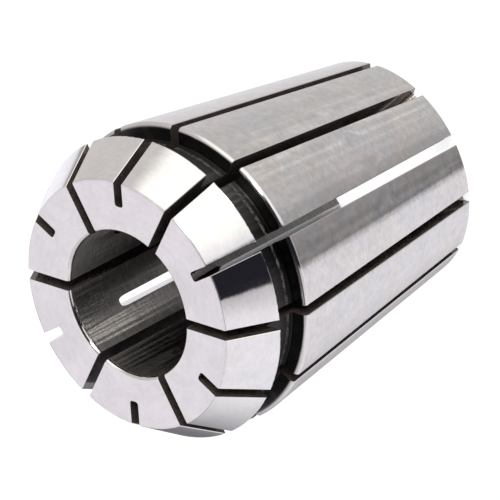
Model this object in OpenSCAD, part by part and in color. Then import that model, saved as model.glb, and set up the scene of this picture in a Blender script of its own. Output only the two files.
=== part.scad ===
// Spring collet for a tool holder: one turned, ground and saw cut steel sleeve.
// It stands on its small rear end, and +Z runs along its axis to the nose.

/* [Taper] */
// Length of the collet from the rear face to the front face
collet_l = 40; // [34:0.5:48]
// Diameter of the outer taper where the round of its rim begins
taper_d = 33; // [31:0.5:38]
// Angle between the outer taper and the axis
taper_angle = 8; // [5:0.5:10]
// Radius of the round on the rim at the big end of the taper
rim_round = 0.52; // [0.2:0.02:0.9]
// Radius of the round on the rim of the rear face
rear_round = 0.2; // [0.1:0.05:0.5]

/* [Nose] */
// Length of the nose cone from the front face to its rim
nose_l = 5.1; // [3.5:0.1:7]
// Largest diameter of the nose, over its rounded rim
nose_d = 33; // [31:0.5:38]
// Angle between the nose cone and the axis
nose_angle = 30; // [20:1:35]
// Radius of the fine round on both edges of the nose cone
nose_round = 0.1; // [0.05:0.05:0.3]

/* [Groove] */
// Width of the groove that the nut pulls the collet out by
groove_w = 3.9; // [3:0.1:6]
// Diameter of the groove floor
groove_d = 29.2; // [26:0.2:30.4]
// Radius of the fillets at both sides of the groove floor
groove_fillet = 0.15; // [0.1:0.05:0.9]

/* [Bore] */
// Diameter of the bore that clamps the shank
bore_d = 16; // [10:0.5:17]
// Radius of the round at the front mouth of the bore
mouth_round = 0.45; // [0.2:0.05:0.9]
// Chamfer at the rear end of the bore
rear_chamfer = 0.2; // [0.1:0.05:0.6]

/* [Slots] */
// Number of saw cuts from each end
slots_per_end = 6; // [3:1:8]
// Width of a saw cut
slot_w = 1.1; // [0.8:0.05:1.6]
// Diameter of the slitting saw that leaves the curved floors
saw_d = 63; // [50:1:80]
// How far the rim of the saw passes the bore wall into the bore
saw_overrun = 1.7; // [1:0.1:3]
// Radius of the worn corners of the saw teeth
tooth_round = 0.3; // [0.05:0.05:0.35]
// Wall left between the bore and the cuts from the rear, at the front face
front_web = 2.95; // [2:0.05:4]
// Wall left between the bore and the cuts from the front, at the rear face
rear_web = 3.3; // [2:0.05:3.6]
// Width of the chamfer that breaks the outer edges of the cuts
slot_break = 0.08; // [0.05:0.01:0.2]

/* [Hidden] */
$fn = 96;
steel = [0.78, 0.77, 0.78];

// How far a cutting shape reaches past the surface that it cuts
clear = 1;
bore_r = bore_d / 2;
groove_r = groove_d / 2;

// Height of the groove walls above the rear face
nose_back_z = collet_l - nose_l;
taper_front_z = nose_back_z - groove_w;

// Where a round of radius r touches the sides of a corner of the given inner angle
function tangent_length(r, angle) = r / tan(angle / 2);

// The big end of the taper: its sharp corner before rounding, and its round
rim_tangent = tangent_length(rim_round, 90 - taper_angle);
rim_corner_r = taper_d / 2 + rim_tangent * sin(taper_angle);
rim_end_z = taper_front_z - rim_tangent * cos(taper_angle);

// The rear face: its sharp corner before rounding, and its round
rear_tangent = tangent_length(rear_round, 90 + taper_angle);
rear_corner_r = taper_d / 2 - rim_end_z * tan(taper_angle);

// The nose cone: its sharp corners before rounding, and their rounds
nose_rim_tangent = tangent_length(nose_round, 90 - nose_angle);
nose_corner_r = nose_d / 2 + nose_rim_tangent - nose_round;
face_tangent = tangent_length(nose_round, 90 + nose_angle);
face_corner_r = nose_corner_r - nose_l * tan(nose_angle);

// Where the turned faces have their seam: in the steel, a quarter of the way between two cuts
seam_angle = 360 / slots_per_end / 8;

// The saw: how deep it runs, and the side of the square rod that breaks a cut's edges
saw_r = saw_d / 2;
saw_centre_r = bore_r - saw_overrun + saw_r;
break_depth = slot_w / 2 + slot_break;
rod_side = break_depth * sqrt(2);

// Point at radius r and height z, moved by a length along a direction from the axis
function along(r, z, length, angle) = [r + length * sin(angle), z + length * cos(angle)];

// Half section of the tapered body, from the rear face to the groove
module taper_section() {
    polygon([
        [0, 0],
        [rear_corner_r - rear_tangent, 0],
        along(rear_corner_r, 0, rear_tangent, taper_angle),
        along(rim_corner_r, taper_front_z, -rim_tangent, taper_angle),
        [rim_corner_r - rim_tangent, taper_front_z],
        [0, taper_front_z]
    ]);
    translate([rear_corner_r - rear_tangent, rear_round]) circle(rear_round);
    translate([rim_corner_r - rim_tangent, taper_front_z - rim_round]) circle(rim_round);
}

// Half section of the nose cone, from the groove to the front face
module nose_section() {
    polygon([
        [0, nose_back_z],
        [nose_corner_r - nose_rim_tangent, nose_back_z],
        along(nose_corner_r, nose_back_z, nose_rim_tangent, -nose_angle),
        along(face_corner_r, collet_l, -face_tangent, -nose_angle),
        [face_corner_r - face_tangent, collet_l],
        [0, collet_l]
    ]);
    translate([nose_corner_r - nose_rim_tangent, nose_back_z + nose_round]) circle(nose_round);
    translate([face_corner_r - face_tangent, collet_l - nose_round]) circle(nose_round);
}

// Half section of the fillet between the groove floor and one wall
module fillet_section() {
    difference() {
        square(groove_fillet);
        translate([groove_fillet, groove_fillet]) circle(groove_fillet);
    }
}

// Half section of the neck under the groove, with its two fillets
module neck_section() {
    translate([0, taper_front_z - clear]) square([groove_r, groove_w + 2 * clear]);
    translate([groove_r, taper_front_z]) fillet_section();
    translate([groove_r, nose_back_z]) mirror([0, 1]) fillet_section();
}

// Half section of the bore, with its rear chamfer and a square step at its mouth
module bore_section() {
    translate([0, -clear]) square([bore_r, collet_l + 2 * clear]);
    polygon([
        [0, -clear],
        [bore_r + rear_chamfer + clear, -clear],
        [bore_r, rear_chamfer],
        [0, rear_chamfer]
    ]);
    translate([0, collet_l - mouth_round]) square([bore_r + mouth_round, mouth_round + clear]);
}

// The turned and ground sleeve before it is slit, with the round that fills the step at the mouth
module blank() {
    rotate([0, 0, seam_angle]) rotate_extrude() {
        difference() {
            union() {
                taper_section();
                neck_section();
                nose_section();
            }
            bore_section();
        }
        translate([bore_r + mouth_round, collet_l - mouth_round]) circle(mouth_round);
    }
}

// The slitting saw, flat on the XY plane's centre, with the corners of its teeth worn round
module slitting_saw() {
    flat_r = saw_r - tooth_round;
    rotate_extrude() {
        translate([0, -slot_w / 2]) square([flat_r, slot_w]);
        translate([0, tooth_round - slot_w / 2]) square([saw_r, slot_w - 2 * tooth_round]);
        for (side = [-1, 1]) {
            translate([flat_r, side * (slot_w / 2 - tooth_round)]) circle(tooth_round);
        }
    }
}

// One saw cut from the rear, stopped where the saw's rim leaves the given web at the front face
module saw_cut(web) {
    reach = sqrt(pow(saw_r, 2) - pow(saw_centre_r - bore_r - web, 2));
    stop_z = collet_l - reach;
    translate([saw_centre_r - saw_r, -slot_w / 2, -clear]) cube([saw_r, slot_w, stop_z + clear]);
    translate([saw_centre_r, 0, stop_z]) rotate([90, 0, 0]) slitting_saw();
}

// A square rod on edge, whose faces break both edges of a cut along a straight line
module break_rod(r, z, length, angle) {
    translate([r, 0, z]) rotate([0, angle, 0]) rotate([0, 0, 45])
        translate([-rod_side / 2, -rod_side / 2, 0]) cube([rod_side, rod_side, length]);
}

// The broken edges of one cut along the taper and the nose cone
module cut_breaks() {
    taper_side = taper_front_z / cos(taper_angle);
    cone_side = nose_l / cos(nose_angle);
    taper_start = along(rear_corner_r, 0, -clear, taper_angle);
    break_rod(taper_start[0], taper_start[1], taper_side + 2 * clear, taper_angle);
    cone_start = along(nose_corner_r, nose_back_z, -clear, -nose_angle);
    break_rod(cone_start[0], cone_start[1], cone_side + 2 * clear, -nose_angle);
}

// Cuts from the rear, which end blind in the front face
module rear_cuts() {
    for (i = [0 : slots_per_end - 1]) {
        rotate([0, 0, (i + 0.5) * 360 / slots_per_end]) {
            saw_cut(front_web);
            cut_breaks();
        }
    }
}

// Cuts from the front, which end blind in the rear face
module front_cuts() {
    for (i = [0 : slots_per_end - 1]) {
        rotate([0, 0, i * 360 / slots_per_end]) {
            translate([0, 0, collet_l]) mirror([0, 0, 1]) saw_cut(rear_web);
            cut_breaks();
        }
    }
}

module collet() {
    color(steel) difference() {
        blank();
        rear_cuts();
        front_cuts();
    }
}

collet();
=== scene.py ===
import math

import bpy
from mathutils import Matrix

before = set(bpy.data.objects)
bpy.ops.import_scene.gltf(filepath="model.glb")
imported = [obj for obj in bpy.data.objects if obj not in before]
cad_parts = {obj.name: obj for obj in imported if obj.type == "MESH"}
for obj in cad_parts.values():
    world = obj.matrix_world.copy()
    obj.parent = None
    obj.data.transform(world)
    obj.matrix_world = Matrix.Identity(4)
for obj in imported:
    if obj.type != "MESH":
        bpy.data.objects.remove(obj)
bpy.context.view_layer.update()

# The turned blank: a bar of spring steel, turned to a slender body taper, a groove and a steep nose cone
# around a straight bore, then hardened and ground. Each turned surface gets its true direction, so that it
# shines as round steel and not as facets. Sizes are in millimetres, from the axis and from the rear face.
COLLET_LENGTH = 40.0
TAPER_ANGLE = math.radians(8)
NOSE_ANGLE = math.radians(30)
BORE_RADIUS = 8.0
TAPER_END = 30.4
GROOVE_RADIUS = 14.6
GROOVE_REAR = 31.0
GROOVE_FRONT = 34.9
# The middle of each rim's round: its radius and its height
MOUTH_CENTRE = (8.45, 39.55)
TAPER_RIM_CENTRE = (15.985, 30.48)
NOSE_RIM_CENTRE = (16.4, 35.0)
FACE_RIM_CENTRE = (13.57, 39.9)
REAR_RIM_CENTRE = (12.053, 0.2)


def new_group(name, inputs, outputs):
    """An empty shader node group with its named sockets, and its two end nodes."""
    group = bpy.data.node_groups.new(name, "ShaderNodeTree")
    for way, sockets in (("INPUT", inputs), ("OUTPUT", outputs)):
        for title, kind, *start in sockets:
            socket = group.interface.new_socket(
                name=title, in_out=way, socket_type="NodeSocket" + kind
            )
            if start:
                socket.default_value = start[0]
    return group, group.nodes.new("NodeGroupInput"), group.nodes.new("NodeGroupOutput")


def add(tree, kind, sockets=(), **settings):
    """One shader node. Each named socket is linked where it gets an output, and set where it gets a value."""
    made = tree.nodes.new(kind)
    for title, value in settings.items():
        setattr(made, title, value)
    for title, value in dict(sockets).items():
        if isinstance(value, bpy.types.NodeSocket):
            tree.links.new(value, made.inputs[title])
        else:
            made.inputs[title].default_value = value
    return made


def calc(tree, operation, *values, clamp=False):
    """The result of one Math node."""
    return add(
        tree, "ShaderNodeMath", enumerate(values), operation=operation, use_clamp=clamp
    ).outputs[0]


def vector_calc(tree, operation, *values, output=0):
    """The result of one Vector Math node."""
    return add(
        tree, "ShaderNodeVectorMath", enumerate(values), operation=operation
    ).outputs[output]


def dot(tree, first, second):
    """How far two directions agree: 1 where they are the same, and 0 where they are square to each other."""
    return vector_calc(tree, "DOT_PRODUCT", first, second, output="Value")


def length(tree, vector):
    """The length of a vector."""
    return vector_calc(tree, "LENGTH", vector, output="Value")


def scaled(tree, vector, factor):
    """A vector or a colour times one value."""
    sockets = {0: vector, "Scale": factor}
    return add(tree, "ShaderNodeVectorMath", sockets, operation="SCALE").outputs[0]


def split(tree, vector):
    """The X, Y and Z of a vector."""
    return add(tree, "ShaderNodeSeparateXYZ", {0: vector}).outputs


def join(tree, x, y, z):
    """The vector with this X, Y and Z."""
    return add(tree, "ShaderNodeCombineXYZ", {0: x, 1: y, 2: z}).outputs[0]


def from_axis(tree, point):
    """The way from the collet's axis straight out to a point."""
    place = split(tree, point)
    return join(tree, place["X"], place["Y"], 0)


def ramp(tree, value, over, gives):
    """A value that runs evenly between the two in gives while another runs between the two in over."""
    sockets = {0: value, 1: over[0], 2: over[1], 3: gives[0], 4: gives[1]}
    return add(tree, "ShaderNodeMapRange", sockets).outputs[0]


def blend_values(tree, share, low, high):
    """The value between low and high that a share from 0 to 1 gives."""
    sockets = {0: share, 2: low, 3: high}
    return add(tree, "ShaderNodeMix", sockets, data_type="FLOAT").outputs[0]


def blend_vectors(tree, share, low, high):
    """The direction between low and high that a share from 0 to 1 gives."""
    sockets = {0: share, 4: low, 5: high}
    return add(tree, "ShaderNodeMix", sockets, data_type="VECTOR").outputs[1]


turned, turned_in, turned_out = new_group(
    "Turned Surfaces",
    [("Point", "Vector"), ("Facet", "Vector")],
    [
        ("Normal", "Vector"),
        ("Taper", "Float"),
        ("Nose", "Float"),
        ("Face", "Float"),
        ("Bore", "Float"),
        ("Groove Floor", "Float"),
        ("Groove Wall", "Float"),
        ("Rim", "Float"),
        ("Cut Wall", "Float"),
        ("Cut Floor", "Float"),
    ],
)
facet = turned_in.outputs["Facet"]
facet_up = split(turned, facet)["Z"]
height = split(turned, turned_in.outputs["Point"])["Z"]
across = from_axis(turned, turned_in.outputs["Point"])
outward = vector_calc(turned, "NORMALIZE", across)
radius = length(turned, across)


def between(value, low, high):
    """1 where the value lies between low and high, and 0 elsewhere."""
    above = calc(turned, "GREATER_THAN", value, low)
    return calc(turned, "MULTIPLY", above, calc(turned, "LESS_THAN", value, high))


def cone_direction(angle, inward=False):
    """The direction of a cone that leans forward by an angle, on the outside or inside of the collet."""
    lean = scaled(turned, outward, -math.cos(angle) if inward else math.cos(angle))
    return vector_calc(turned, "ADD", lean, (0, 0, math.sin(angle)))


def round_direction(centre):
    """The direction of a rounded rim, from the middle of its round."""
    reach = scaled(turned, outward, calc(turned, "SUBTRACT", radius, centre[0]))
    rise = join(turned, 0, 0, calc(turned, "SUBTRACT", height, centre[1]))
    return vector_calc(turned, "NORMALIZE", vector_calc(turned, "ADD", reach, rise))


def surface(direction, low, high, inner, outer, agreement):
    """1 on the surface that faces this way, between two heights and two radii."""
    agrees = calc(turned, "GREATER_THAN", dot(turned, facet, direction), agreement)
    band = calc(
        turned, "MULTIPLY", between(height, low, high), between(radius, inner, outer)
    )
    return calc(turned, "MULTIPLY", agrees, band)


# Each turned surface: its true direction, its lowest and highest place, its smallest and largest radius, and
# how well a facet has to agree with that direction. Where no limit is needed, it lies well off the surface.
BELOW = -1
ABOVE = 41
IN_THE_WALL = 9
OUTSIDE = 20
SAME_WAY = 0.985
TURNED_SURFACES = {
    "Taper": (cone_direction(-TAPER_ANGLE), BELOW, TAPER_END, IN_THE_WALL, OUTSIDE, SAME_WAY),
    "Nose": (
        cone_direction(NOSE_ANGLE), GROOVE_FRONT + 0.1, ABOVE, IN_THE_WALL, OUTSIDE, SAME_WAY
    ),
    "Face": ((0, 0, 1), COLLET_LENGTH - 0.05, ABOVE, BORE_RADIUS, OUTSIDE, SAME_WAY),
    "Bore": (cone_direction(0, inward=True), BELOW, ABOVE, 7, BORE_RADIUS + 0.03, SAME_WAY),
    "Groove floor": (
        cone_direction(0), GROOVE_REAR, GROOVE_FRONT, IN_THE_WALL, GROOVE_RADIUS + 0.05, SAME_WAY
    ),
    "Mouth": (round_direction(MOUTH_CENTRE), 39.54, ABOVE, 7, 8.46, 0.8),
    "Taper rim": (
        round_direction(TAPER_RIM_CENTRE), TAPER_END, GROOVE_REAR + 0.1, 15.98, 18, 0.9
    ),
    "Nose rim": (round_direction(NOSE_RIM_CENTRE), 34, 35.06, 16.3, 18, 0.8),
    "Face rim": (round_direction(FACE_RIM_CENTRE), 39.9, ABOVE, 13.5, 14.5, 0.8),
    "Rear rim": (round_direction(REAR_RIM_CENTRE), BELOW, 0.2, 12.04, 13, 0.8),
}
true_way = facet
found = {}
for title, (direction, *limits) in TURNED_SURFACES.items():
    found[title] = surface(direction, *limits)
    true_way = blend_vectors(turned, found[title], true_way, direction)

# The groove has a floor, two walls and the fillets between them. How far a facet turns to the side tells the
# turned surfaces, the broken edges of the saw cuts and the walls of the cuts apart.
BROKEN_EDGE = (0.5, 0.85)
BROKEN_EDGE_RADIUS = 11.8
CUT_WALL_TURN = 0.9
PAST_THE_WALLS = 0.02
GROOVE_RADII = (14, 16.4)
REAR_FACE_HEIGHT = 0.1
around = vector_calc(turned, "CROSS_PRODUCT", outward, (0, 0, 1))
to_the_side = calc(turned, "ABSOLUTE", dot(turned, facet, around))
in_groove = calc(
    turned,
    "MULTIPLY",
    between(height, GROOVE_REAR - PAST_THE_WALLS, GROOVE_FRONT + PAST_THE_WALLS),
    between(radius, *GROOVE_RADII),
)
not_a_cut = calc(turned, "LESS_THAN", to_the_side, BROKEN_EDGE[0])
in_groove = calc(turned, "MULTIPLY", in_groove, not_a_cut)
faces_axis = calc(turned, "GREATER_THAN", calc(turned, "ABSOLUTE", facet_up), SAME_WAY)
groove_wall = calc(turned, "MULTIPLY", in_groove, faces_axis)
groove_floor = calc(turned, "SUBTRACT", in_groove, groove_wall)

# The rim of the taper is painted as dark as the groove where it rolls over into it: painted shade where it
# turns to face the back of the nose
rolled_over_shade = split(turned, TURNED_SURFACES["Taper rim"][0])["Z"]
rolled_over_shade = ramp(turned, rolled_over_shade, over=(0.72, 1.0), gives=(0.0, 1.0))
rolled_over_shade = calc(turned, "MULTIPLY", rolled_over_shade, found["Taper rim"])
# The rim's painted shade takes the groove wall's dark colour
groove_wall = calc(turned, "ADD", groove_wall, rolled_over_shade, clamp=True)
rim = calc(
    turned,
    "MULTIPLY",
    between(to_the_side, *BROKEN_EDGE),
    calc(turned, "GREATER_THAN", radius, BROKEN_EDGE_RADIUS),
)
for title in ("Taper rim", "Nose rim", "Face rim", "Rear rim", "Mouth"):
    rim = calc(turned, "ADD", rim, found[title], clamp=True)
bright_rim = calc(turned, "SUBTRACT", rim, rolled_over_shade, clamp=True)
rear_face = calc(
    turned,
    "MULTIPLY",
    calc(turned, "LESS_THAN", facet_up, -SAME_WAY),
    calc(turned, "LESS_THAN", height, REAR_FACE_HEIGHT),
)
face = calc(turned, "ADD", found["Face"], rear_face, clamp=True)

# What is none of these was sawn: the walls and the floors of the cuts
not_sawn = in_groove
for share in (found["Taper"], found["Nose"], found["Bore"], face, rim):
    not_sawn = calc(turned, "ADD", not_sawn, share, clamp=True)
sawn = calc(turned, "SUBTRACT", 1, not_sawn, clamp=True)
cut_wall = calc(
    turned, "MULTIPLY", sawn, calc(turned, "GREATER_THAN", to_the_side, CUT_WALL_TURN)
)
for title, result in (
    ("Normal", true_way),
    ("Taper", found["Taper"]),
    ("Nose", found["Nose"]),
    ("Face", face),
    ("Bore", found["Bore"]),
    ("Groove Floor", groove_floor),
    ("Groove Wall", groove_wall),
    ("Rim", bright_rim),
    ("Cut Wall", cut_wall),
    ("Cut Floor", calc(turned, "SUBTRACT", sawn, cut_wall)),
):
    turned.links.new(result, turned_out.inputs[title])

# The lines that turning and grinding leave. They run around the collet on every turned surface, short and
# close on the ground taper and nose, and longer and deeper in the bore. A share of them is coarse.
COARSER = (0.6, 0.6, 0.17)
lines, lines_in, lines_out = new_group(
    "Grinding Lines",
    [
        ("Point", "Vector"),
        ("Lines per mm", "Float", 6.0),
        ("Length of a line", "Float", 6.0),
        ("Raggedness", "Float", 0.3),
        ("Share of Coarse Lines", "Float", 0.4),
    ],
    [("Lines", "Float")],
)


def noise(tree, vector, scale, detail, roughness=0.5, distortion=0.0):
    """An even noise of about 0.3 to 0.7 that changes over the steel."""
    sockets = {
        "Vector": vector,
        "Scale": scale,
        "Detail": detail,
        "Roughness": roughness,
        "Distortion": distortion,
    }
    return add(tree, "ShaderNodeTexNoise", sockets).outputs["Fac"]


point = lines_in.outputs["Point"]
across = from_axis(lines, point)
profile = calc(lines, "SUBTRACT", split(lines, point)["Z"], length(lines, across))
wander = noise(lines, point, scale=0.9, detail=2.0)
wander = calc(lines, "MULTIPLY", wander, lines_in.outputs["Raggedness"])
profile = calc(lines, "ADD", profile, wander)
profile = calc(lines, "MULTIPLY", profile, lines_in.outputs["Lines per mm"])
stretch = calc(lines, "DIVIDE", 1, lines_in.outputs["Length of a line"])
along_line = split(lines, scaled(lines, across, stretch))
drawn = join(lines, along_line["X"], along_line["Y"], profile)
fine = noise(lines, drawn, scale=1.0, detail=3.0, roughness=0.6)
coarse = vector_calc(lines, "MULTIPLY", drawn, COARSER)
coarse = noise(lines, coarse, scale=1.0, detail=2.0)
mixed = blend_values(lines, lines_in.outputs["Share of Coarse Lines"], fine, coarse)
lines.links.new(mixed, lines_out.inputs["Lines"])

# The chatter that the grooving tool leaves: two jagged bright lines that wander around the groove floor,
# close to its rear wall, where the blade shook against the steel.
CHATTER_HEIGHT = 31.65
JAGS = (13.0, 13.0, 0.2)
# Each line: where its noise starts, its height over the chatter's own, and how far it swings
CHATTER_LINES = ((4.7, -0.06, 0.9), (23.1, 0.12, 0.8))
chatter, chatter_in, chatter_out = new_group(
    "Tool Chatter", [("Point", "Vector"), ("Line Width", "Float", 0.05)], [("Line", "Float")]
)
point = chatter_in.outputs["Point"]
height = split(chatter, point)["Z"]
chatter_lines = 0
for start, offset, swing in CHATTER_LINES:
    jag = vector_calc(chatter, "ADD", point, (start, start, 0))
    jag = vector_calc(chatter, "MULTIPLY", jag, JAGS)
    jag = noise(chatter, jag, scale=1.0, detail=3.0, roughness=0.75)
    jag = calc(chatter, "MULTIPLY", calc(chatter, "SUBTRACT", jag, 0.5), swing)
    off_line = calc(chatter, "SUBTRACT", height, CHATTER_HEIGHT + offset)
    off_line = calc(chatter, "ABSOLUTE", calc(chatter, "SUBTRACT", off_line, jag))
    off_line = calc(chatter, "DIVIDE", off_line, chatter_in.outputs["Line Width"])
    line = calc(chatter, "SUBTRACT", 1, off_line, clamp=True)
    chatter_lines = calc(chatter, "MAXIMUM", chatter_lines, line)
strength = noise(chatter, point, scale=2.2, detail=2.0)
strength = ramp(chatter, strength, over=(0.40, 0.60), gives=(0.15, 1.0))
chatter_lines = calc(chatter, "MULTIPLY", chatter_lines, strength)
chatter.links.new(chatter_lines, chatter_out.inputs["Line"])

# What handling and storage leave on ground steel: a faint film of oil that clouds it and tints it warm or
# cool, and a few hairline scratches, which lie in patches.
marks, marks_in, marks_out = new_group(
    "Handling Marks",
    [("Point", "Vector"), ("Cloud Size", "Float", 3.0)],
    [("Cloud", "Float"), ("Film", "Float"), ("Scratch", "Float")],
)
point = marks_in.outputs["Point"]
cloud_scale = calc(marks, "DIVIDE", 1, marks_in.outputs["Cloud Size"])
cloud = noise(marks, point, cloud_scale, detail=5.0, roughness=0.62, distortion=0.6)
marks.links.new(cloud, marks_out.inputs["Cloud"])
AWAY_FROM_THE_CLOUDS = (51.0, 9.0, 27.0)
film = vector_calc(marks, "ADD", point, AWAY_FROM_THE_CLOUDS)
film = noise(marks, film, scale=0.28, detail=4.0, roughness=0.6, distortion=0.4)
marks.links.new(film, marks_out.inputs["Film"])
# Each set of scratches: the way that they run, their length, and where their noise starts
SCRATCH_SETS = ((0.7, 5.0, 3.1), (2.1, 8.0, 17.3), (1.3, 3.5, 41.9))
SCRATCHES_PER_MM = 3.2
SCRATCH_WIDTH = 0.006
scratches = 0
for turn, scratch_length, start in SCRATCH_SETS:
    laid = add(
        marks,
        "ShaderNodeMapping",
        {
            "Vector": point,
            "Location": (start, start, start),
            "Rotation": (turn, turn * 0.6, turn * 1.7),
            "Scale": (1 / scratch_length, SCRATCHES_PER_MM, 1 / scratch_length),
        },
    ).outputs[0]
    line = noise(marks, laid, scale=1.0, detail=0.0)
    line = calc(marks, "ABSOLUTE", calc(marks, "SUBTRACT", line, 0.5))
    line = ramp(marks, line, over=(0.0, SCRATCH_WIDTH), gives=(1.0, 0.0))
    scratches = calc(marks, "MAXIMUM", scratches, line)
patches = noise(marks, point, scale=0.35, detail=1.0)
patches = ramp(marks, patches, over=(0.5, 0.62), gives=(0.0, 1.0))
scratches = calc(marks, "MULTIPLY", scratches, patches)
marks.links.new(scratches, marks_out.inputs["Scratch"])

# The saw cuts. A slitting saw leaves fine arcs of its own radius on both walls of a cut, and cutting oil and
# dust darken them. The cuts come from the rear and from the front in turn, so the arcs do too.
SAW_RADIUS = 31.5
SAW_CENTRE = 37.8
CUTS_EACH_WAY = 6
STRETCHED_ARCS = (0.15, 0.15, 1.0)
saw, saw_in, saw_out = new_group(
    "Saw Marks",
    [("Point", "Vector"), ("Arcs per mm", "Float", 3.0)],
    [("Height", "Float"), ("Tone", "Float")],
)
point = saw_in.outputs["Point"]
place = split(saw, point)
angle = calc(saw, "ARCTAN2", place["Y"], place["X"])
side = calc(saw, "COSINE", calc(saw, "MULTIPLY", angle, CUTS_EACH_WAY))
side = calc(saw, "SIGN", side)
reach = calc(saw, "SUBTRACT", SAW_CENTRE, length(saw, from_axis(saw, point)))
rise = calc(saw, "SUBTRACT", SAW_RADIUS**2, calc(saw, "POWER", reach, 2))
rise = calc(saw, "SQRT", calc(saw, "MAXIMUM", rise, 0))
arc = calc(saw, "ADD", place["Z"], calc(saw, "MULTIPLY", side, rise))
arc = calc(saw, "MULTIPLY", arc, saw_in.outputs["Arcs per mm"])
arc = join(saw, place["X"], place["Y"], arc)
arc = vector_calc(saw, "MULTIPLY", arc, STRETCHED_ARCS)
arc = noise(saw, arc, scale=1.0, detail=3.0)
grime = noise(saw, point, scale=0.8, detail=4.0)
saw.links.new(arc, saw_out.inputs["Height"])
saw.links.new(blend_values(saw, 0.5, arc, grime), saw_out.inputs["Tone"])

# The finished steel of the collet: bright and lapped on the nose and the rims, ground on the taper, satin on
# the front face, and dull and dark where it was only turned or sawn, which is partly its own turned and sawn
# steel and partly painted shade in the groove and the cuts. One material covers the one piece, and each of
# its surfaces takes its own colour, roughness and lines, with the marks of the groups above.
MILLIMETRES = 1000
steel = bpy.data.materials.new("collet steel")
steel.use_nodes = True
tree = steel.node_tree
tree.nodes.clear()
point = scaled(tree, add(tree, "ShaderNodeTexCoord").outputs["Object"], MILLIMETRES)
facet = add(
    tree,
    "ShaderNodeVectorTransform",
    {0: add(tree, "ShaderNodeNewGeometry").outputs["True Normal"]},
    vector_type="NORMAL",
    convert_from="WORLD",
    convert_to="OBJECT",
).outputs[0]


def use(tree, group, sockets):
    """The outputs of one use of a node group, with its own values."""
    return add(tree, "ShaderNodeGroup", sockets, node_tree=group).outputs


def blend_colours(tree, share, low, high):
    """The colour between low and high that a share from 0 to 1 gives."""
    sockets = {0: share, 6: low, 7: high}
    return add(tree, "ShaderNodeMix", sockets, data_type="RGBA").outputs[2]


surfaces = use(tree, turned, {"Point": point, "Facet": facet})
bore_lines = use(
    tree,
    lines,
    {
        "Point": point,
        "Lines per mm": 5.0,
        "Length of a line": 1.6,
        "Raggedness": 0.12,
        "Share of Coarse Lines": 0.08,
    },
)["Lines"]
short_lines = use(
    tree,
    lines,
    {"Point": point, "Lines per mm": 9.0, "Length of a line": 0.55, "Raggedness": 0.6},
)["Lines"]
chatter_line = use(tree, chatter, {"Point": point, "Line Width": 0.065})["Line"]
handling = use(tree, marks, {"Point": point, "Cloud Size": 3.0})
saw_marks = use(tree, saw, {"Point": point, "Arcs per mm": 3.0})

# Finish of each surface: colour, roughness, how much the lines change the roughness, and how deep they are
FINISHES = {
    "Taper": ((0.70, 0.69, 0.69), 0.22, 0.06, 0.3),
    "Nose": ((0.76, 0.75, 0.76), 0.10, 0.04, 0.10),
    "Face": ((0.715, 0.69, 0.712), 0.20, 0.06, 0.15),
    "Bore": ((0.33, 0.315, 0.305), 0.34, 0.06, 7.0),
    # The near-black colours of the groove and of the cuts are partly their own turned and sawn steel and
    # partly painted shade in these hollows
    "Groove Floor": ((0.055, 0.053, 0.051), 0.38, 0.10, 0.3),
    "Groove Wall": ((0.07, 0.068, 0.068), 0.20, 0.05, 0.2),
    "Rim": ((0.71, 0.69, 0.69), 0.12, 0.04, 0.1),
    "Cut Wall": ((0.085, 0.070, 0.065), 0.08, 0.04, 0.0),
    "Cut Floor": ((0.10, 0.088, 0.084), 0.25, 0.05, 0.0),
}
colour = (0.7, 0.7, 0.7, 1)
roughness = 0.3
spread = 0.1
depth = 0.0
for title, (tint, rough, change, deep) in FINISHES.items():
    share = surfaces[title]
    colour = blend_colours(tree, share, colour, (*tint, 1))
    roughness = blend_values(tree, share, roughness, rough)
    spread = blend_values(tree, share, spread, change)
    depth = blend_values(tree, share, depth, deep)

# How dark and how light the lines, the clouds, the saw marks and the streaks make the colour
MOST_OF_A_NOISE = (0.35, 0.65)
MOST_OF_A_CLOUD = (0.3, 0.7)
LINE_SHADE = (0.91, 1.09)
CLOUD_SHADE = (0.94, 1.06)
BORE_SHADE = (0.75, 1.25)
SAW_SHADE = (0.7, 1.35)
STREAK_SHADE = (0.9, 1.1)
height = split(tree, point)["Z"]
tone = ramp(tree, short_lines, MOST_OF_A_NOISE, LINE_SHADE)
tone = blend_values(tree, surfaces["Taper"], blend_values(tree, 0.5, 1.0, tone), tone)
cloud = ramp(tree, handling["Cloud"], MOST_OF_A_CLOUD, CLOUD_SHADE)
shade = calc(tree, "MULTIPLY", tone, cloud)
# The bore is painted darker away from its mouth, as painted shade deep inside it
bore_tone = ramp(tree, bore_lines, MOST_OF_A_NOISE, BORE_SHADE)
deep_painted_shade = ramp(tree, height, over=(16.0, 27.0), gives=(0.4, 1.0))
bore_tone = calc(tree, "MULTIPLY", bore_tone, deep_painted_shade)
shade = blend_values(tree, surfaces["Bore"], shade, bore_tone)
# The groove is painted darkest close to its rear wall, as painted shade, and the chatter in it shines
CHATTER_SHINE = 10.0
groove_shade_and_chatter = ramp(
    tree, height, over=(GROOVE_REAR + 0.3, GROOVE_REAR + 2.2), gives=(0.6, 1.1)
)
groove_shade_and_chatter = blend_values(tree, chatter_line, groove_shade_and_chatter, CHATTER_SHINE)
shade = blend_values(tree, surfaces["Groove Floor"], shade, groove_shade_and_chatter)
sawn = calc(tree, "ADD", surfaces["Cut Wall"], surfaces["Cut Floor"], clamp=True)
saw_tone = ramp(tree, saw_marks["Tone"], MOST_OF_A_NOISE, SAW_SHADE)
shade = blend_values(tree, sawn, shade, saw_tone)
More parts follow.
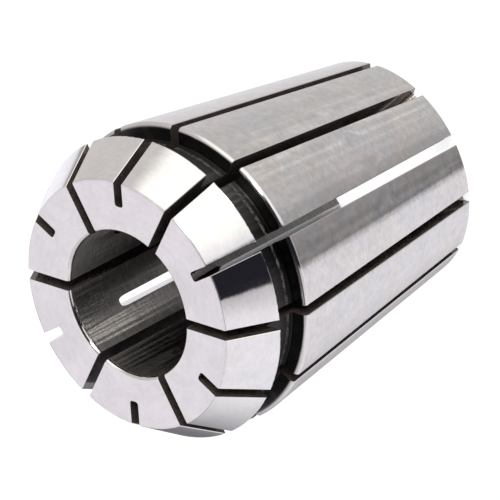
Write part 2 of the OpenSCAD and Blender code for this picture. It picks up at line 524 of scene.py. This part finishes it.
# The floors of the cuts carry streaks along the way of the saw, and those from the front, which run out near
# the rear face, are painted up to six times brighter there: painted light, where the open rear end lets light
# in
STREAKS = (6.0, 6.0, 0.25)
streaks = noise(tree, vector_calc(tree, "MULTIPLY", point, STREAKS), scale=1.0, detail=2.0)
floor_tone = ramp(tree, streaks, MOST_OF_A_CLOUD, STREAK_SHADE)
shade = blend_values(tree, surfaces["Cut Floor"], shade, floor_tone)
# Painted light on the cut floors near the rear face
rear_painted_light = ramp(tree, height, over=(2.0, 14.0), gives=(6.0, 1.0))
rear_painted_light = blend_values(tree, surfaces["Cut Floor"], 1.0, rear_painted_light)
shade = calc(tree, "MULTIPLY", shade, rear_painted_light)
colour = scaled(tree, colour, shade)
# The film on the taper is faintly brown in one place and faintly blue in another
BROWN_FILM = (1.025, 1.0, 0.98, 1)
BLUE_FILM = (0.98, 0.985, 1.01, 1)
NO_FILM = (1, 1, 1, 1)
film = ramp(tree, handling["Film"], over=(0.40, 0.60), gives=(0.0, 1.0))
film = blend_colours(tree, film, BROWN_FILM, BLUE_FILM)
film = blend_colours(tree, surfaces["Taper"], NO_FILM, film)
colour = vector_calc(tree, "MULTIPLY", colour, film)

SCRATCH_ROUGHNESS = 0.02
LEAST_ROUGHNESS = 0.05
uneven_line = calc(tree, "SUBTRACT", short_lines, 0.5)
uneven = calc(tree, "ADD", uneven_line, calc(tree, "SUBTRACT", handling["Cloud"], 0.5))
roughness = calc(tree, "ADD", roughness, calc(tree, "MULTIPLY", uneven, spread))
scratched = calc(tree, "MULTIPLY", handling["Scratch"], SCRATCH_ROUGHNESS)
roughness = calc(tree, "ADD", roughness, scratched)
roughness = calc(tree, "MAXIMUM", roughness, LEAST_ROUGHNESS)

# The film of oxide and oil in the cuts hides part of the metal
HIDDEN_ON_WALLS = 0.75
HIDDEN_ON_FLOORS = 0.3
hidden = calc(tree, "MULTIPLY", surfaces["Cut Wall"], HIDDEN_ON_WALLS)
hidden_floor = calc(tree, "MULTIPLY", surfaces["Cut Floor"], HIDDEN_ON_FLOORS)
metal = calc(tree, "SUBTRACT", 1, calc(tree, "ADD", hidden, hidden_floor))

# The relief of the lines and marks, in steps of this height, which is in metres
RELIEF_STEP = 0.0000025
SCRATCH_DEPTH = 0.04
relief = blend_values(tree, surfaces["Bore"], short_lines, bore_lines)
relief = calc(tree, "MULTIPLY", relief, depth)
for share, mark, deep in (
    (surfaces["Groove Floor"], chatter_line, 8.0),
    (surfaces["Cut Wall"], saw_marks["Height"], 0.4),
    (surfaces["Cut Floor"], streaks, 0.1),
):
    mark = calc(tree, "MULTIPLY", calc(tree, "MULTIPLY", mark, deep), share)
    relief = calc(tree, "ADD", relief, mark)
scratched = calc(tree, "MULTIPLY", handling["Scratch"], SCRATCH_DEPTH)
relief = calc(tree, "SUBTRACT", relief, scratched)

# Each grinding line leans a little to one side or the other, which frays the edges of every reflection
MOST_LEAN = 0.035
ground = calc(tree, "ADD", surfaces["Taper"], surfaces["Nose"])
ground = calc(tree, "ADD", ground, surfaces["Bore"], clamp=True)
lean = calc(tree, "MULTIPLY", uneven_line, MOST_LEAN)
around = vector_calc(tree, "NORMALIZE", vector_calc(tree, "CROSS_PRODUCT", point, (0, 0, 1)))
around = scaled(tree, around, calc(tree, "MULTIPLY", lean, ground))
way = vector_calc(tree, "NORMALIZE", vector_calc(tree, "ADD", surfaces["Normal"], around))
way = add(
    tree,
    "ShaderNodeVectorTransform",
    {0: way},
    vector_type="NORMAL",
    convert_from="OBJECT",
    convert_to="WORLD",
).outputs[0]
bumped = add(
    tree,
    "ShaderNodeBump",
    {"Height": relief, "Normal": way, "Strength": 1.0, "Distance": RELIEF_STEP},
).outputs[0]

# The lay of the finest lines: around the collet where it is turned, and along it on the walls of the cuts
WALL_PULL = 10
lay = add(tree, "ShaderNodeTangent", direction_type="RADIAL", axis="Z").outputs[0]
facing_around = add(tree, "ShaderNodeNewGeometry").outputs["True Normal"]
facing_around = calc(tree, "ABSOLUTE", dot(tree, facing_around, lay))
along = join(tree, 0, 0, calc(tree, "MULTIPLY", facing_around, WALL_PULL))
shader = add(
    tree,
    "ShaderNodeBsdfPrincipled",
    {
        "Base Color": colour,
        "Roughness": roughness,
        "Normal": bumped,
        "Metallic": metal,
        "Tangent": vector_calc(tree, "ADD", lay, along),
        "Anisotropic": 1.0,
        "Anisotropic Rotation": 0.25,
    },
)
add(tree, "ShaderNodeOutputMaterial", {"Surface": shader.outputs[0]})
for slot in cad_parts["collet"].material_slots:
    slot.material = steel

# The table top. A plain white sheet lies under the collet and runs out of sight behind it, and keeps the
# collet's soft shadow. The steel mirrors the tent in place of the sheet, except for what lies under the bore.
TABLE_HALF_WIDTH = 3.0
TABLE_DROP = 0.00002
REAR_FACE_RADIUS = 0.01205
BORE_OPENING = 0.0075
PAST_THE_OPENING = 0.010
table_mesh = bpy.data.meshes.new("table top")
corners = [(-1, -1), (1, -1), (1, 1), (-1, 1)]
table_mesh.from_pydata(
    [(x * TABLE_HALF_WIDTH, y * TABLE_HALF_WIDTH, -TABLE_DROP) for x, y in corners],
    [],
    [(0, 1, 2, 3)],
)
table = bpy.data.objects.new("table top", table_mesh)
bpy.context.scene.collection.objects.link(table)
sheet = bpy.data.materials.new("white sheet")
sheet.use_nodes = True
table_mesh.materials.append(sheet)
tree = sheet.node_tree
tree.nodes.clear()
light_path = add(tree, "ShaderNodeLightPath").outputs
here = add(tree, "ShaderNodeTexCoord").outputs["Object"]
distance = length(tree, here)
seen = calc(tree, "MAXIMUM", light_path["Is Camera Ray"], light_path["Is Transmission Ray"])

# Where it is seen, most of the sheet's white is its own and the rest is lit, which keeps the shadow
LIT_SHEET = ((0.88, 0.88, 0.885, 1), (0.92, 0.92, 0.925, 1))
SEEN_SHEET = ((0.26, 0.26, 0.262, 1), (0.27, 0.27, 0.272, 1))
WHITE = (1, 1, 1, 1)
grain = noise(tree, here, scale=900.0, detail=2.0)
lit_sheet = blend_colours(tree, grain, *LIT_SHEET)
seen_sheet = blend_colours(tree, grain, *SEEN_SHEET)
paper = blend_colours(tree, seen, lit_sheet, seen_sheet)
matt = add(tree, "ShaderNodeBsdfDiffuse", {"Color": paper}).outputs[0]
# The sheet's own even white, painted brighter under the bore's opening: painted light that hides the shade in
# the bore's footprint
own_white_and_painted_light = ramp(tree, distance, over=(BORE_OPENING, PAST_THE_OPENING), gives=(1.0, 0.90))
own_white_and_painted_light = calc(tree, "MULTIPLY", seen, own_white_and_painted_light)
white = add(tree, "ShaderNodeEmission", {"Color": WHITE, "Strength": own_white_and_painted_light}).outputs[0]
lit = add(tree, "ShaderNodeAddShader", {0: matt, 1: white}).outputs[0]

# What the steel mirrors of the sheet, painted as a glow: painted shade, darkest under the wall and less dark
# under the bore, and a painted reflection brighter than the lit sheet where a cut mirrors it to the eye at
# once, without a second mirroring on the way
UNDER_WALL = 0.05
UNDER_BORE = 0.26
MIRRORED_AT_ONCE = 1.5
ONE_MIRRORING = 1.5
MIRRORED_WHITE = (1.0, 0.98, 0.99, 1)
in_opening = calc(tree, "LESS_THAN", distance, BORE_OPENING)
painted_mirror_glow = blend_values(tree, in_opening, UNDER_WALL, UNDER_BORE)
at_once = calc(tree, "LESS_THAN", light_path["Ray Depth"], ONE_MIRRORING)
painted_mirror_glow = blend_values(tree, at_once, painted_mirror_glow, MIRRORED_AT_ONCE)
painted_mirror_glow = add(
    tree, "ShaderNodeEmission", {"Color": MIRRORED_WHITE, "Strength": painted_mirror_glow}
).outputs[0]
under = add(
    tree, "ShaderNodeMixShader", {0: light_path["Is Glossy Ray"], 1: lit, 2: painted_mirror_glow}
).outputs[0]
clear = add(tree, "ShaderNodeBsdfTransparent").outputs[0]
beyond = calc(tree, "GREATER_THAN", distance, REAR_FACE_RADIUS)
beyond = calc(tree, "MULTIPLY", beyond, light_path["Is Glossy Ray"])
shown = add(tree, "ShaderNodeMixShader", {0: beyond, 1: under, 2: clear}).outputs[0]
add(tree, "ShaderNodeOutputMaterial", {"Surface": shown})

# The light tent. White cloth hangs all around the collet, with a brighter panel and one small strong soft box
# beside the photographer. Black cards, a flag and dimmer sheets hang before it, so that the round steel shows
# crisp edges and soft slopes of grey, and boards lie low around the table.
world = bpy.data.worlds.new("light tent")
bpy.context.scene.world = world
world.use_nodes = True
tree = world.node_tree
tree.nodes.clear()
panel, panel_in, panel_out = new_group(
    "Tent Panel",
    [
        ("Toward", "Vector"),
        ("Rise", "Float"),
        ("Facing", "Vector"),
        ("Half Width", "Float"),
        ("Left Edge", "Float"),
        ("Right Edge", "Float"),
        ("Lowest", "Float"),
        ("Highest", "Float"),
        ("Fade", "Float"),
    ],
    [("Share", "Float")],
)


def edge(inside, softness, start, end):
    """A soft step from 0 to 1 over the edge of a panel, from how far inside it a direction lies."""
    return add(
        panel,
        "ShaderNodeMapRange",
        {0: calc(panel, "DIVIDE", inside, softness), 1: start, 2: end, 3: 0.0, 4: 1.0},
        interpolation_type="SMOOTHSTEP",
    ).outputs[0]


level = vector_calc(panel, "MULTIPLY", panel_in.outputs["Toward"], (1, 1, 0))
level = vector_calc(panel, "NORMALIZE", level)
facing = panel_in.outputs["Facing"]
turn = split(panel, vector_calc(panel, "CROSS_PRODUCT", facing, level))["Z"]
turn = calc(panel, "ARCTAN2", turn, dot(panel, level, facing))
half_width = panel_in.outputs["Half Width"]
left = calc(panel, "ADD", half_width, turn)
right = calc(panel, "SUBTRACT", half_width, turn)
above = calc(panel, "SUBTRACT", panel_in.outputs["Rise"], panel_in.outputs["Lowest"])
below = calc(panel, "SUBTRACT", panel_in.outputs["Highest"], panel_in.outputs["Rise"])
sides = calc(
    panel,
    "MULTIPLY",
    edge(left, panel_in.outputs["Left Edge"], -0.5, 0.5),
    edge(right, panel_in.outputs["Right Edge"], -0.5, 0.5),
)
share = calc(panel, "MULTIPLY", sides, edge(above, panel_in.outputs["Fade"], 0, 1))
share = calc(panel, "MULTIPLY", share, edge(below, panel_in.outputs["Fade"], 0, 1))
panel.links.new(share, panel_out.inputs["Share"])

# Each panel, with the later ones in front: its first and last direction around the collet and the softness of
# those two edges, all in degrees, its lowest and highest height, from -1 straight down to 1 straight up, the
# softness of those, and its brightness
PANELS = {
    "dim back": (91, 140, 5, 60, -0.68, 0.15, 0.08, (0.19, 0.19, 0.205)),
    "side sheet": (-40, 59, 20, 3, -0.68, 0.80, 0.12, (0.74, 0.705, 0.675)),
    "dark strip": (52.5, 58.5, 2, 2, -0.50, 0.10, 0.10, (0.37, 0.36, 0.37)),
    "white back": (63, 89, 14, 3, -0.68, 0.10, 0.10, (1.09, 1.08, 1.14)),
    "corner shade": (118, 182, 14, 12, 0.0, 0.86, 0.15, (0.80, 0.785, 0.83)),
    "bright panel": (-80, -7, 24, 16, -0.30, 3, 0.25, (1.45, 1.42, 1.33)),
    "soft box": (-62, -51, 4, 4, 0.26, 0.80, 0.12, (21.0, 20.3, 19.5)),
    "dark flag": (-96, -59, 4, 14, 0.40, 3, 0.14, (0.04, 0.04, 0.05)),
    "shade of the card": (-128, -90, 22, 4, -0.30, 3, 0.20, (0.68, 0.65, 0.66)),
    "black card": (-117.8, -88, 1.5, 4, -0.52, 3, 0.10, (0.018, 0.018, 0.024)),
    "card top": (-165, -112, 20, 8, 0.50, 3, 0.12, (0.04, 0.04, 0.045)),
    "dark ceiling": (-140, 0, 25, 20, 0.78, 3, 0.06, (0.02, 0.02, 0.025)),
}
# The boards that lie around the collet, placed in the same way but by the angle around it at which each shows
LOW_BOARDS = {
    "low sheet": (-400, 400, 5, 5, -2, -0.62, 0.08, (0.98, 0.96, 1.0)),
    "low bright": (-29, 60, 10, 20, -2, -0.62, 0.08, (1.10, 1.09, 1.13)),
    "low side": (-104.5, -32, 1, 40, -2, -0.62, 0.08, (0.595, 0.575, 0.56)),
    "low shade": (-104.5, -92, 1, 40, -2, -0.62, 0.08, (0.09, 0.086, 0.083)),
    "low back": (-215, -151, 20, 36, -2, -0.62, 0.08, (0.40, 0.39, 0.40)),
}
# The white table beyond the collet, which its rear rim and the saw cuts mirror
TABLE_BEYOND = (16, 164, 10, 10, -2, -0.84, 0.03, (1, 1, 1))
TENT_CLOTH = (1.04, 1.015, 1.05, 1)
# The direction from the collet to where the photographer stands
PHOTOGRAPHER = (0.046923, -0.745231, 0.665153)
toward = add(tree, "ShaderNodeTexCoord").outputs["Generated"]
rise = split(tree, toward)["Z"]
showing = vector_calc(tree, "ADD", toward, PHOTOGRAPHER)
boards = [(toward, *values) for values in PANELS.values()]
boards += [(showing, *values) for values in LOW_BOARDS.values()]
boards.append((toward, *TABLE_BEYOND))
light = TENT_CLOTH
for placed, first, last, first_edge, last_edge, lowest, highest, fade, brightness in boards:
    middle = math.radians((first + last) / 2)
    share = use(
        tree,
        panel,
        {
            "Toward": placed,
            "Rise": rise,
            "Facing": (math.cos(middle), math.sin(middle), 0),
            "Half Width": math.radians((last - first) / 2),
            "Left Edge": math.radians(first_edge),
            "Right Edge": math.radians(last_edge),
            "Lowest": lowest,
            "Highest": highest,
            "Fade": fade,
        },
    )["Share"]
    light = blend_colours(tree, share, light, (*brightness, 1))
light_path = add(tree, "ShaderNodeLightPath").outputs
seen = calc(tree, "MAXIMUM", light_path["Is Camera Ray"], light_path["Is Transmission Ray"])
light = blend_colours(tree, seen, light, WHITE)
glow = add(tree, "ShaderNodeBackground", {"Color": light, "Strength": 1.0}).outputs[0]
add(tree, "ShaderNodeOutputWorld", {"Surface": glow})

# The camera stands in front of the nose and looks down at the collet, turned on its side as in the
# photograph. Its place is in metres, and RIGHT and UP are the directions of the picture's right and top.
EYE = (0.039819, -0.647665, 0.599575)
RIGHT = (-0.429839, -0.616146, -0.660001)
UP = (0.901685, -0.254940, -0.349241)
camera_data = bpy.data.cameras.new("camera")
camera_data.lens = 604.152
camera_data.sensor_width = 36.0
camera_data.sensor_fit = "HORIZONTAL"
camera_data.clip_start = 0.05
camera_data.clip_end = 50.0
camera = bpy.data.objects.new("camera", camera_data)
columns = Matrix(((*RIGHT, 0), (*UP, 0), (*PHOTOGRAPHER, 0), (*EYE, 1)))
camera.matrix_world = columns.transposed()
bpy.context.scene.collection.objects.link(camera)
bpy.context.scene.camera = camera
bpy.context.scene.view_settings.view_transform = "Standard"
